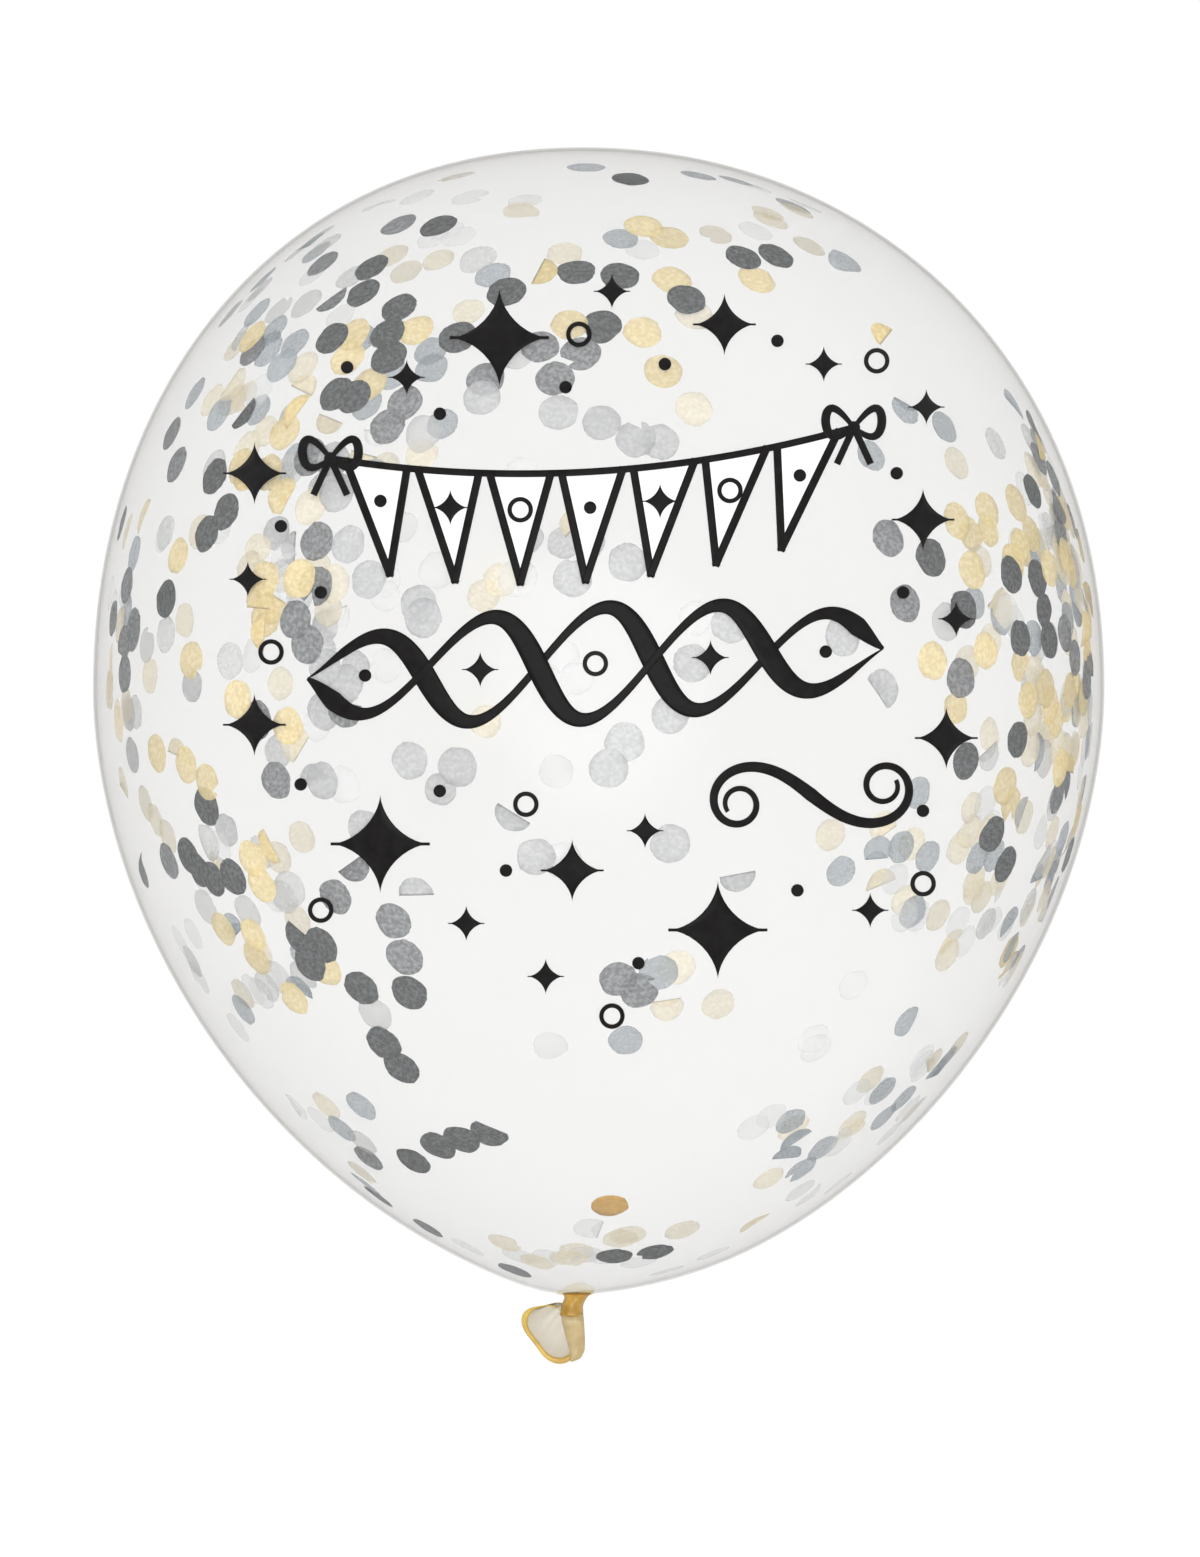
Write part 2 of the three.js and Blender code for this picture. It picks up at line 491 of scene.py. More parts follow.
foldLatex = {
    **mouthLatex,
    "dark": (0.485, 0.36, 0.16),
    "light": (0.62, 0.485, 0.25),
    "alpha": 0.72,
    "absorptionDensity": 200,
}

# The film is less stretched around the neck: an amber patch that is pinched to a long oval.
collarSettings = {
    **mouthLatex,
    "dark": (0.42, 0.25, 0.03),
    "light": (0.60, 0.40, 0.08),
    "alpha": 0.04,
    "absorption": (0.98, 0.86, 0.45),
    "absorptionDensity": 3000,
    "thickness": 0.04 * mm,
    "lift": 0.06 * mm,  # clear of the film
    "inner": 3 * mm,
    "halfWidth": 5.2 * mm,
    "halfHeight": 17 * mm,
    "scallop": 0.07,
    "scallops": ((5, 1), (8, 0)),  # waves round the edge, and where each starts
    "rings": 12,
    "around": 120,
}


def tailStations():  # distances along the neck's middle line
    s = tailSettings
    bendStart = s["neckDiameter"] + s["neckLength"]
    throatAt = bendStart + s["neckBendRadius"] * s["neckBend"]
    return bendStart, throatAt, throatAt + s["mouthReach"]


def flareRadius(share):
    s = tailSettings
    return mix(s["throatDiameter"], s["mouthDiameter"], share ** s["flarePower"]) / 2


def rimShape(angle):  # three rounded corners, the tuck at the knot and the bulge beside it
    s = tailSettings
    corners = s["cornerShare"] * math.cos(s["corners"] * (angle - s["mouthRoll"]))
    tuck = s["tuckShare"] * ((1 - math.cos(angle)) / 2) ** s["tuckPower"]
    shoulder = s["shoulderShare"] * max(math.cos(angle - s["shoulderAt"]), 0) ** s["shoulderPower"]
    return 1 - corners - tuck + shoulder


def tailSection(distance):
    s = tailSettings
    bendStart, throatAt, rimAt = tailStations()
    up = Vector((0, 0, 1))
    turn = min(max((distance - bendStart) / s["neckBendRadius"], 0), s["neckBend"])
    across = Vector((math.cos(turn), -math.sin(turn), 0))
    travel = Vector((-math.sin(turn), -math.cos(turn), 0))
    root = s["neckDiameter"] - outlineSettings["taperLength"]
    middle = Vector((
        -outlineSettings["neckOffset"] - s["neckBendRadius"] * (1 - math.cos(turn)),
        root - min(distance, bendStart) - s["neckBendRadius"] * math.sin(turn),
        0,
    ))
    opened = min(max((distance - throatAt) / s["mouthReach"], 0), 1)
    fan = opened * s["mouthTurn"]
    outward = travel * math.sin(fan) - up * math.cos(fan)
    facing = travel * math.cos(fan) + up * math.sin(fan)
    if opened > 0:  # the open sections turn about a hinge just in front of the throat
        hingeGap = s["mouthWall"] / 2 + s["foldClearance"]
        rimGap = s["lipStandOut"] + s["lipDiameter"] / 2 + s["foldClearance"]
        nearRadius = flareRadius(opened) * mix(1, rimShape(math.pi), opened)
        middle += up * (s["throatDiameter"] / 2 + hingeGap)
        middle += outward * (mix(hingeGap, rimGap, opened) + nearRadius)
        middle += facing * max(distance - rimAt, 0)
    return middle, across, outward, opened


def smoothPlace(points, share):  # on a smooth curve through the points
    spot = share * (len(points) - 1)
    index = min(int(spot), len(points) - 2)
    part = spot - index
    before, start, end, after = (
        Vector(points[min(max(index + step, 0), len(points) - 1)]) for step in (-1, 0, 1, 2)
    )
    return start + (
        (end - before) * part
        + (before * 2 - start * 5 + end * 4 - after) * part ** 2
        + (start * 3 - before - end * 3 + after) * part ** 3
    ) / 2


def smoothNumber(values, share):
    return smoothPlace([(value, 0) for value in values], share).x


def ringFaces(rings, looped=False):  # rings of point numbers; a ring of one point closes an end
    faces = []
    sides = max(len(ring) for ring in rings)
    pairs = list(zip(rings, rings[1:]))
    if looped:
        pairs.append((rings[-1], rings[0]))
    for first, second in pairs:
        for column in range(sides):
            following = (column + 1) % sides
            face = [first[column % len(first)], first[following % len(first)],
                    second[following % len(second)], second[column % len(second)]]
            faces.append(tuple(dict.fromkeys(face)))
    return faces


def turnTail(name, profileAt, looped=False):  # profileAt(angle): rows of (radius, distance, creased)
    s = tailSettings
    sides = s["sides"]
    angles = [column / sides * 2 * math.pi for column in range(sides)]
    profiles = [profileAt(angle) for angle in angles]
    points = []
    rings = []
    for row in range(len(profiles[0])):
        ring = []
        for angle, profile in zip(angles, profiles):
            radius, distance, creased = profile[row]
            middle, across, outward, opened = tailSection(distance)
            crease = s["creaseDepth"] * creased * (1 - opened) ** s["creaseFade"]
            wander = s["creaseWander"] * math.sin(s["creaseWaves"] * angle)
            shape = mix(1, rimShape(angle), opened)
            shape *= 1 + crease * math.sin(s["creases"] * angle + wander)
            ring.append(len(points))
            points.append(bodyMiddle + middle + across * (radius * math.sin(angle) * shape)
                          + outward * (radius * math.cos(angle) * shape))
            if radius == 0:
                break
        rings.append(ring)
    return meshObject(name, points, ringFaces(rings, looped))


def mouthProfile(_):  # the same all round: up the outside of the wall and down the inside
    s = tailSettings
    _, throatAt, _ = tailStations()
    half = s["mouthWall"] / 2
    outer = []
    for row in range(s["flareRows"] + 1):
        share = row / s["flareRows"]
        outer.append((flareRadius(share), throatAt + share * s["mouthReach"]))
    profile = [(0, throatAt + s["throatGap"], 0)]
    profile += [(radius + half, distance, 1) for radius, distance in outer]
    profile += [(radius - half, distance, 1) for radius, distance in reversed(outer[1:])]
    profile.append((0, throatAt + s["mouthReach"] / s["flareRows"], 0))
    return profile


def lipProfile(angle):  # the roll is thick on the free side of the rim
    s = tailSettings
    _, _, rimAt = tailStations()
    free = min(max((math.cos(angle - s["lipMiddle"]) - s["fullLipFrom"]) / s["fullLipOver"], 0), 1)
    share = mix(s["thinLip"], 1, free * free * (3 - 2 * free))
    share *= 1 - s["fadeAtKnot"] * max(-math.cos(angle), 0) ** s["fadePower"]
    lip = s["lipDiameter"] / 2 * share
    profile = []
    for row in range(s["lipRows"]):
        turn = row / s["lipRows"] * 2 * math.pi
        profile.append((s["mouthDiameter"] / 2 + s["lipStandOut"] * share + lip * math.cos(turn),
                        rimAt + lip + s["mouthWall"] / 2 + lip * math.sin(turn), 0))
    return profile


def makeKnot():  # the neck's doubled band, in lengthwise pleats with slanting wraps over them
    s = knotSettings
    sides = tailSettings["sides"]
    points = []
    rings = []
    for row in range(s["rows"] + 1):
        share = row / s["rows"]
        left = inSight(*fromPixel(smoothPlace(s["left"], share)), 0)
        right = inSight(*fromPixel(smoothPlace(s["right"], share)), 0)
        height = smoothNumber(s["halfHeight"], share) * mm
        rounding = 1 - s["roundBy"] * max((share - s["roundFrom"]) / (1 - s["roundFrom"]), 0) ** 2
        ring = []
        for column in range(sides):
            angle = column / sides * 2 * math.pi
            pleat = s["pleatDepth"] * math.sin(s["pleats"] * angle + s["twist"] * share)
            slant = s["wrapSlant"] * math.sin(angle + s["wrapTurn"])
            wrap = s["wrapDepth"] * math.sin(2 * math.pi * s["wraps"] * share + slant)
            shape = rounding * (1 + (pleat + wrap) * min(share / s["smoothStart"], 1))
            ring.append(len(points))
            points.append((left + right) / 2 + (right - left) / 2 * math.sin(angle) * shape
                          + Vector((0, 0, height * math.cos(angle) * shape)))
        rings.append(ring)
    for ring, end in ((rings[0], 0), (rings[-1], 1)):
        middle = sum((points[index] for index in ring), Vector()) / sides
        points.append(middle)
        rings.insert(len(rings) * end, [len(points) - 1])
    return meshObject("neck_knot", points, ringFaces(rings))


def foldRow(share):  # from the free edge over the rim to the tucked edge underneath
    s = foldSettings
    height = smoothNumber(s["height"], share) * mm
    inner = inSight(*fromPixel(smoothPlace(s["inner"], share)), height)
    outer = inSight(*fromPixel(smoothPlace(s["outer"], share)), height)
    width = (outer - inner).length
    run = (outer - inner) / width
    edge = min(s["edgeRadius"], s["edgeShare"] * width)
    flat = width - edge
    fullness = min(width / s["fullWidth"], 1)
    row = []
    for column in range(s["topColumns"]):
        along = column / s["topColumns"] * flat
        ripple = math.sin(2 * math.pi * (flat - along) / s["wrinkleStep"]) * (along / width) ** 2
        sink = s["dip"] * fullness * max(1 - along / (s["dipShare"] * width), 0) ** 2
        row.append((inner + run * along + Vector((0, 0, s["wrinkle"] * ripple - sink)), Vector((0, 0, 1))))
    for column in range(s["edgeColumns"] + 1):
        spot = column / s["edgeColumns"]
        turn = mix(math.pi / 2, -math.pi / 2, min(spot / s["roundShare"], 1))
        back = s["tuck"] * fullness * max((spot - s["roundShare"]) / (1 - s["roundShare"]), 0)
        out = run * math.cos(turn) + Vector((0, 0, math.sin(turn)))
        row.append((inner + run * (flat - back) + out * edge - Vector((0, 0, edge)), out))
    return row


def makeCollar():
    s = collarSettings
    o = outlineSettings
    grid = []
    for step in range(s["around"]):
        angle = step / s["around"] * 2 * math.pi
        outer = 1 / math.hypot(math.sin(angle) / s["halfWidth"], math.cos(angle) / s["halfHeight"])
        outer *= 1 + s["scallop"] * sum(math.sin(waves * angle + start) for waves, start in s["scallops"])
        row = []
        for ring in range(s["rings"] + 1):
            radius = mix(s["inner"], outer, ring / s["rings"])
            share = (1 - (radius / bodyRadius) ** (1 / o["taperRoot"])) ** (1 / o["taperPower"])
            row.append(bodyPoint(-o["taperLength"] * share, angle, -s["lift"]))
        grid.append(row)
    sheet = newSheet()
    addSheet(sheet, grid, s["thickness"], closed=True)
    collar = sheetObject("neck_collar", sheet)
    collar.visible_shadow = False
    dressPiece(collar, newMaterial("amberFilm", s))


def makeTail():
    makeCollar()
    dressPiece(makeKnot(), newMaterial("gatheredLatex", neckLatex))
    dressPiece(turnTail("mouth_wall", mouthProfile), newMaterial("slackLatex", mouthLatex))
    lip = turnTail("rolled_lip", lipProfile, looped=True)
    dressPiece(lip, newMaterial("rolledLatex", lipLatex))
    sheet = newSheet()
    rows = foldSettings["rows"]
    addSheet(sheet, [foldRow(row / rows) for row in range(rows + 1)], tailSettings["mouthWall"])
    dressPiece(sheetObject("mouth_fold", sheet), newMaterial("foldedLatex", foldLatex))


makeTail()

print("stage 5: printed side")

printSettings = {
    "thickness": 0.04 * mm,
    "lift": 0.06 * mm,  # clear of the film
    "layer": 0.01 * mm,  # each stroke lies this much above the last where they cross
    "layers": 12,
    "step": 1.2 * mm,
    "columns": 5,
}


def printedPlace(x, y, layer):
    s = printSettings
    along, angle = filmUnder(x, y, 1)
    return bodyPoint(along, angle, -s["lift"] - s["layer"] * (layer % s["layers"]))


def addStroke(sheet, path, widths, layer=0, closed=False):  # path and widths in metres
    columns = printSettings["columns"]
    grid = []
    count = len(path)
    for index, (x, y) in enumerate(path):
        before = path[(index - 1) % count] if closed else path[max(index - 1, 0)]
        after = path[(index + 1) % count] if closed else path[min(index + 1, count - 1)]
        run = Vector((after[0] - before[0], after[1] - before[1])).normalized()
        row = []
        for column in range(columns):
            side = (column / (columns - 1) - 0.5) * widths[index]
            row.append(printedPlace(x - run.y * side, y + run.x * side, layer))
        grid.append(row)
    addSheet(sheet, grid, printSettings["thickness"], closed)


inkBlack = {
    "dark": (0.006, 0.005, 0.005),
    "light": (0.012, 0.011, 0.011),
    "mottleScale": 300,
    "mottleDetail": 4,
    "mottleMiddle": 0.5,
    "mottleSpread": 0.2,
    "specular": 0.12,
    "roughness": 0.55,
    "roughnessSpread": 0.08,
    "bumpStrength": 0.2,
    "bumpDepth": 0.05 * mm,
    "alpha": 1,
}

inkWhite = {
    **inkBlack,
    "dark": (0.93, 0.93, 0.92),
    "light": (0.99, 0.99, 0.98),
    "mottleScale": 120,
    "alpha": 0.6,
}

garlandSettings = {
    "left": (-78 * mm, 70 * mm),
    "right": (74 * mm, 79 * mm),
    "sag": 8 * mm,
    "cordWidth": 2.1 * mm,
    "pennants": 7,
    "pennantWidth": 18.5 * mm,
    "pennantHeight": 33 * mm,
    "outline": 2.4 * mm,
    "overshoot": 0.8 * mm,  # of the outline past its corners
    "fieldRows": 14,
    "fieldColumns": 8,
    "fieldEnd": 0.985,  # share of the way to the tip
    "motifs": ("dot", "twinkle", "ring"),
    "motifAt": (0.3, 0.33),  # share of the way from the cord's middle to the tip, across and down
    "bowLoop": 8.5 * mm,
    "bowSteps": 24,
    "bowGap": 0.04,  # between the loop's two ends, as a share of half a turn
    "bowHeight": 0.5,  # share of the loop's length
    "bowRise": 0.25,  # how far the loop tips up, likewise
    "bowWidths": (0.6, 1.3),  # shares of the cord's width, at the knot and at the loop's end
    "bowTail": (0.6, 1.3),  # shares of the loop's length, across and down
    "cordOvershoot": 0.02,  # share of the cord's length, past the pennants at each end
    "cordSteps": 120,
}

garlandLayers = {"cord": 1, "outline": 2, "motif": 4, "bowLoop": 4, "bowTail": 7, "bowKnot": 10}  # upwards

braidSettings = {
    "left": (-88 * mm, 4 * mm),
    "right": (86 * mm, 13 * mm),
    "crossings": 5,
    "height": 17 * mm,  # from the middle line to a crest
    "slant": 0.2,
    "thin": 2.3 * mm,
    "thick": 7 * mm,
    "thickPower": 1.3,  # the higher, the shorter the broad parts
    "endFade": 0.03,  # the waves grow and shrink over both ends
    "fadePower": 0.4,
    "tipWidth": 0.15,  # share of the width at both tips
    "tipGrowth": 16,  # and how fast they widen from there
    "steps": 300,
    "layers": (2, 5),  # of the two streamers
    "motifs": ("dot", "twinkle", "ring", "twinkle", "dot"),
}

scrollSettings = {
    "middle": (64 * mm, -31 * mm),
    "length": 150 * mm,  # along the stroke
    "turns": 1.45,  # of the spiral at each end
    "lean": math.radians(-38),
    "thin": 1.4 * mm,
    "thick": 4.2 * mm,
    "thinPower": 0.7,  # the lower, the sooner it thins from the middle
    "steps": 240,
    "layer": 4,
}

motifSizes = {"dot": 1.9 * mm, "ring": 3.2 * mm, "twinkle": 5.5 * mm, "spark": 9.5 * mm, "bigSpark": 15 * mm}

motifSettings = {
    "stations": 28,
    "roundPower": 2,
    "pointedPower": 0.62,
    "tipAngle": 0.02,  # left out at both ends, in radians
    "tipWidth": 0.03,  # share of the size
    "ringWidth": 0.42,  # share of the ring's radius
}

# Where the loose motifs are, in millimetres on the picture plane from the balloon's middle.
looseMotifs = {
    "bigSpark": ((-30, 107), (36, -72), (-66, -46)),
    "spark": ((38, 111), (-104, 66), (98, 52), (-8, -54), (105, -14), (-104, -10)),
    "twinkle": ((-58, 95), (4, 121), (68, 99), (99, 86), (-106, 34), (108, 22), (-40, -70), (14, -42),
                (-16, -86), (82, -66)),
    "dot": ((-48, 84), (-10, 92), (20, 99), (54, 106), (-96, 50), (-76, 98), (90, 66), (-90, -28),
            (-48, -30), (12, -82), (60, -60), (-28, -54), (98, -36), (-84, 30), (92, 30)),
    "ring": ((-6, 108), (84, 100), (-99, 12), (-84, -66), (4, -98), (98, -58), (-22, -34)),
}


def addShape(sheet, x, y, size, power, layer=0):  # power 2 is a dot, under 1 a four-pointed twinkle
    s = motifSettings
    least = s["tipWidth"] * size
    grid = []
    for station in range(s["stations"] + 1):
        angle = mix(s["tipAngle"], math.pi - s["tipAngle"], station / s["stations"])
        offset = size * math.copysign(abs(math.cos(angle)) ** (2 / power), math.cos(angle))
        half = max(size * math.sin(angle) ** (2 / power), least)
        grid.append([printedPlace(x + offset, y + half * share, layer) for share in (-1, -0.5, 0, 0.5, 1)])
    addSheet(sheet, grid, printSettings["thickness"])


def addMotif(sheet, kind, x, y, layer=0):
    s = motifSettings
    size = motifSizes[kind]
    if kind == "ring":
        turns = [step / s["stations"] * 2 * math.pi for step in range(s["stations"])]
        path = [(x + size * math.cos(turn), y + size * math.sin(turn)) for turn in turns]
        addStroke(sheet, path, [s["ringWidth"] * size] * len(path), layer, closed=True)
    else:
        addShape(sheet, x, y, size, s["roundPower"] if kind == "dot" else s["pointedPower"], layer)


def straightPath(start, end, overshoot=0.0):
    run = Vector((end[0] - start[0], end[1] - start[1]))
    count = max(2, math.ceil(run.length / printSettings["step"]))
    reach = overshoot / run.length
    shares = [mix(-reach, 1 + reach, step / count) for step in range(count + 1)]
    return [(start[0] + run.x * share, start[1] + run.y * share) for share in shares]


def garlandPoint(share):
    s = garlandSettings
    x = mix(s["left"][0], s["right"][0], share)
    y = mix(s["left"][1], s["right"][1], share) - 4 * s["sag"] * share * (1 - share)
    return x, y


def addPennant(black, white, index):
    s = garlandSettings
    width = s["pennantWidth"] / (s["right"][0] - s["left"][0])
    middle = (index + 0.5) / s["pennants"]
    left = garlandPoint(middle - width / 2)
    right = garlandPoint(middle + width / 2)
    x, y = garlandPoint(middle)
    lean = (left[1] - right[1]) / (right[0] - left[0])
    tip = (x + lean * s["pennantHeight"], y - s["pennantHeight"])
    grid = []
    for row in range(s["fieldRows"] + 1):  # the white field, from the cord down to the tip
        share = min(row / s["fieldRows"], s["fieldEnd"])
        start = (mix(left[0], tip[0], share), mix(left[1], tip[1], share))
        end = (mix(right[0], tip[0], share), mix(right[1], tip[1], share))
        across = [column / s["fieldColumns"] for column in range(s["fieldColumns"] + 1)]
        grid.append([printedPlace(mix(start[0], end[0], spot), mix(start[1], end[1], spot), 0)
                     for spot in across])
    addSheet(white, grid, printSettings["thickness"])
    for number, (start, end) in enumerate(((left, tip), (tip, right))):
        path = straightPath(start, end, s["overshoot"])
        addStroke(black, path, [s["outline"]] * len(path), garlandLayers["outline"] + number)
    motif = s["motifs"][index % len(s["motifs"])]
    across, down = s["motifAt"]
    addMotif(black, motif, mix(x, tip[0], across), mix(y, tip[1], down), garlandLayers["motif"])


def addBow(black, x, y):
    s = garlandSettings
    loop = s["bowLoop"]
    across, down = s["bowTail"]
    steps = s["bowSteps"]
    turns = [mix(s["bowGap"], 1 - s["bowGap"], step / steps) * math.pi for step in range(steps + 1)]
    for number, side in enumerate((-1, 1)):
        path = [(x + side * loop * math.sin(turn),
                 y + s["bowHeight"] * loop * math.sin(2 * turn) + s["bowRise"] * loop * math.sin(turn))
                for turn in turns]
        widths = [mix(*s["bowWidths"], math.sin(turn)) * s["cordWidth"] for turn in turns]
        addStroke(black, path, widths, garlandLayers["bowLoop"] + 2 * number)
        tail = straightPath((x, y), (x + side * loop * across, y - loop * down))
        addStroke(black, tail, [s["cordWidth"]] * len(tail), garlandLayers["bowTail"] + 2 * number)
    addMotif(black, "dot", x, y, garlandLayers["bowKnot"])


def addGarland(black, white):
    s = garlandSettings
    for index in range(s["pennants"]):
        addPennant(black, white, index)
    start = -s["cordOvershoot"]
    end = 1 + s["cordOvershoot"]
    steps = s["cordSteps"]
    path = [garlandPoint(mix(start, end, step / steps)) for step in range(steps + 1)]
    addStroke(black, path, [s["cordWidth"]] * len(path), garlandLayers["cord"])
    addBow(black, *garlandPoint(start))
    addBow(black, *garlandPoint(end))


def addBraid(black):  # two crossing streamers, broad where they come down and thin where they go up
    s = braidSettings
    for strand, layer in enumerate(s["layers"]):
        path = []
        widths = []
        for step in range(s["steps"] + 1):
            share = step / s["steps"]
            turn = (share * s["crossings"] + strand) * math.pi
            fade = math.sin(math.pi * mix(s["endFade"], 1 - s["endFade"], share)) ** s["fadePower"]
            rise = s["height"] * fade * math.sin(turn)
            path.append((mix(s["left"][0], s["right"][0], share) + s["slant"] * rise,
                         mix(s["left"][1], s["right"][1], share) + rise))
            falling = ((1 - math.cos(turn)) / 2) ** s["thickPower"]
            taper = min(1, s["tipWidth"] + s["tipGrowth"] * min(share, 1 - share))
            widths.append(mix(s["thin"], s["thick"], falling) * taper)
        addStroke(black, path, widths, layer)
    for index, kind in enumerate(s["motifs"]):
        share = (index + 0.5) / s["crossings"]
        x, y = (mix(start, end, share) for start, end in zip(s["left"], s["right"]))
        addMotif(black, kind, x, y)


def addScroll(black):  # its bend grows evenly from the middle, so it winds up into a spiral at each end
    s = scrollSettings
    count = s["steps"]
    heading = s["turns"] * 2 * math.pi
    place = Vector((0, 0))
    path = []
    widths = []
    for step in range(count + 1):
        share = step / count * 2 - 1
        path.append(place.copy())
        widths.append(mix(s["thick"], s["thin"], abs(share) ** s["thinPower"]))
        angle = s["lean"] + heading * share * share
        place += Vector((math.cos(angle), math.sin(angle))) * (s["length"] / count)
    shift = Vector(s["middle"]) - path[count // 2]
    addStroke(black, [(point + shift)[:] for point in path], widths, s["layer"])


def makePrint():
    black = newSheet()
    white = newSheet()
    addGarland(black, white)
    addBraid(black)
    addScroll(black)
    for kind, places in looseMotifs.items():
        for number, (x, y) in enumerate(places):
            addMotif(black, kind, x * mm, y * mm, number)
    for name, sheet, ink, slotName in (
        ("print_black", black, inkBlack, "ink_black"),
        ("print_white", white, inkWhite, "ink_white"),
    ):
        dressPiece(sheetObject(name, sheet), newMaterial(name + "_ink", ink))


makePrint()

print("stage 6: confetti")

paperSettings = {
    "mottleScale": 850,
    "mottleDetail": 4,
    "mottleMiddle": 0.53,
    "mottleSpread": 0.12,
    "specular": 0.2,
    "roughness": 0.8,
    "roughnessSpread": 0.1,
    "bumpStrength": 0.35,
    "bumpDepth": 0.08 * mm,
    "discShades": (1 - 0.16, 1 + 0.16 / 3),  # the shade differs from disc to disc
}

confettiPapers = {
    "black": {"slot": "tissue_black", "dark": (0.003, 0.006, 0.006), "light": (0.075, 0.09, 0.098),
              "alpha": 0.9},
    # a lighter copy of the black tissue: painted veil and glare of the film over it
    "slate": {"slot": "tissue_black", "dark": (0.10, 0.105, 0.11), "light": (0.26, 0.275, 0.29),
              "alpha": 0.75},
    # a lighter, bluer copy of the black tissue, mostly for discs on the far side: painted haze of the milky
    # film over them
    "blue": {"slot": "tissue_black", "dark": (0.27, 0.315, 0.35), "light": (0.35, 0.405, 0.44),
             "alpha": 0.5},
    "silver": {"slot": "tissue_silver", "dark": (0.44, 0.445, 0.455), "light": (0.57, 0.575, 0.585),
               "alpha": 0.55},
    # a lighter copy of the silver tissue: painted haze of the film over it
    "clear": {"slot": "tissue_silver", "dark": (0.50, 0.51, 0.50), "light": (0.61, 0.62, 0.61),
              "alpha": 0.37},
    # a much lighter copy of the silver tissue: painted haze and glare of the film over it
    "faint": {"slot": "tissue_silver", "dark": (0.74, 0.75, 0.75), "light": (0.84, 0.84, 0.84),
              "alpha": 0.26},
    "gold": {"slot": "tissue_gold", "dark": (0.73, 0.58, 0.25), "light": (0.87, 0.74, 0.40),
             "alpha": 0.6},
    # a lighter copy of the gold tissue, mostly for discs on the far side: painted haze of the milky film over
    # them
    "cream": {"slot": "tissue_gold", "dark": (0.74, 0.66, 0.47), "light": (0.86, 0.79, 0.60),
              "alpha": 0.42},
    "bronze": {"slot": "tissue_gold", "dark": (0.50, 0.26, 0.02), "light": (0.62, 0.35, 0.05),
               "alpha": 0.9},
}

confettiSettings = {
    "seed": 41,
    "diameter": 11 * mm,
    "sizeSpread": 0.04,
    "thickness": 0.025 * mm,
    "stations": 18,
    "columns": 5,
    "endWidth": 0.12,  # of a disc's first and last station, as a share of the radius
    "waves": ((3, 0.02), (5, 0.015)),  # in the outline, and their depth as a share of the radius
    "ragged": 0.035,  # how unevenly the edge is cut, as a share of the radius
    "rimShares": (0.93, 0.992),  # discs that drift past the rim end up in this zone inside it
    "gap": 0.2 * mm,  # between the film and the outermost disc
    "layerGap": 0.11 * mm,
    "layers": 11,  # of the strong papers; as many of the pale ones lie behind them
    # the pale papers are lighter copies with painted haze over them
    "pale": ("blue", "clear", "faint", "cream"),
    "crinkle": 0.1 * mm,
    "crinkles": (900, 700),  # along and across the disc, in radians for each metre
    "foldGap": 0.1 * mm,
    "strayTrail": 1.0 * mm,
    "shadowAlpha": 0.8,  # thinner tissue hardly dims the light
    "shapes": {"round": 70, "folded": 9, "half": 6, "torn": 8, "curled": 7},
    "foldPastMiddle": (2, 3),  # stations
    "tears": (0.3, 0.8),
    "tearReach": 2,  # stations
    "tearMargin": 3,  # stations left whole at both ends
    "curls": (0.8 * mm, 2.2 * mm),
}

